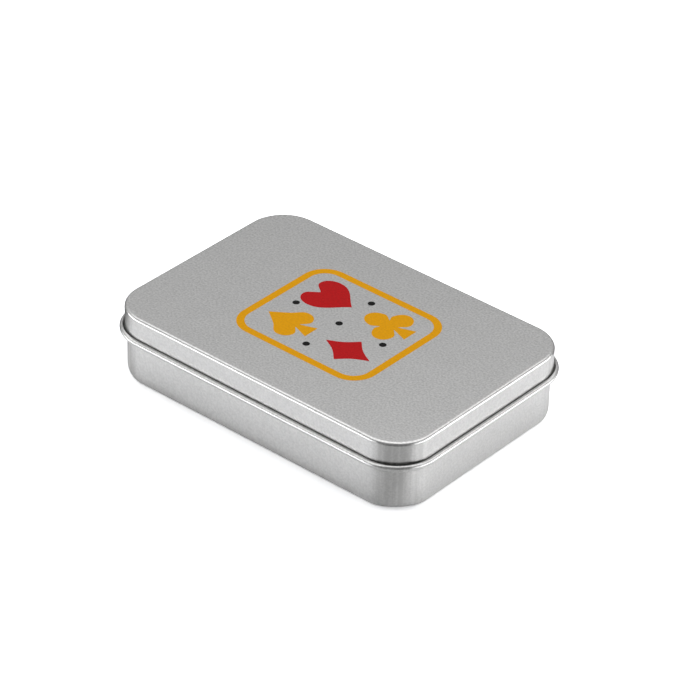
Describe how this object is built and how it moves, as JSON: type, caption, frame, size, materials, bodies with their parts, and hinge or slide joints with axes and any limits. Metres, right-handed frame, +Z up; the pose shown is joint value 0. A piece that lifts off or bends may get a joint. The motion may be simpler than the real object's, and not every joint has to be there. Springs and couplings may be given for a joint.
{
  "type": "card game tin",
  "caption": "Shallow rounded tinplate box with a hinged lid, a formed insert and a deck of playing cards.",
  "frame": {"origin": "middle of the closed tin's footprint, on the surface it stands on", "axes": "+X along the long side, +Y from the front towards the hinge, +Z up"},
  "size_m": [0.115, 0.079, 0.023],
  "materials": {
    "tinplate": "matt stone-finish tinplate",
    "hinge_wire": "bright drawn wire",
    "insert_plastic": "vacuum-formed sheet, satin",
    "card_stock": "coated card"
  },
  "bodies": {
    "base": {"base": "tinplate", "insert_tray": "insert_plastic", "card_spade_01": "card_stock", "card_spade_02": "card_stock", "card_spade_03": "card_stock", "card_spade_04": "card_stock", "card_spade_05": "card_stock", "card_spade_06": "card_stock", "card_spade_07": "card_stock", "card_spade_08": "card_stock", "card_spade_09": "card_stock", "card_spade_10": "card_stock", "card_spade_11": "card_stock", "card_spade_12": "card_stock", "card_spade_13": "card_stock", "card_heart_01": "card_stock", "card_heart_02": "card_stock", "card_heart_03": "card_stock", "card_heart_04": "card_stock", "card_heart_05": "card_stock", "card_heart_06": "card_stock", "card_heart_07": "card_stock", "card_heart_08": "card_stock", "card_heart_09": "card_stock", "card_heart_10": "card_stock", "card_heart_11": "card_stock", "card_heart_12": "card_stock", "card_heart_13": "card_stock", "card_club_01": "card_stock", "card_club_02": "card_stock", "card_club_03": "card_stock", "card_club_04": "card_stock", "card_club_05": "card_stock", "card_club_06": "card_stock", "card_club_07": "card_stock", "card_club_08": "card_stock", "card_club_09": "card_stock", "card_club_10": "card_stock", "card_club_11": "card_stock", "card_club_12": "card_stock", "card_club_13": "card_stock", "card_diamond_01": "card_stock", "card_diamond_02": "card_stock", "card_diamond_03": "card_stock", "card_diamond_04": "card_stock", "card_diamond_05": "card_stock", "card_diamond_06": "card_stock", "card_diamond_07": "card_stock", "card_diamond_08": "card_stock", "card_diamond_09": "card_stock", "card_diamond_10": "card_stock", "card_diamond_11": "card_stock", "card_diamond_12": "card_stock", "card_diamond_13": "card_stock", "card_joker_1": "card_stock", "card_joker_2": "card_stock"},
    "lid": {"lid": "tinplate", "hinge_pin_left": "hinge_wire", "hinge_pin_right": "hinge_wire"}
  },
  "joints": [
    {"name": "lid_hinge", "type": "hinge", "parent": "base", "child": "lid", "pos_m": [0, 0.0386, 0.0153], "axis": [-1, 0, 0], "range_deg": [0, 180]}
  ]
}
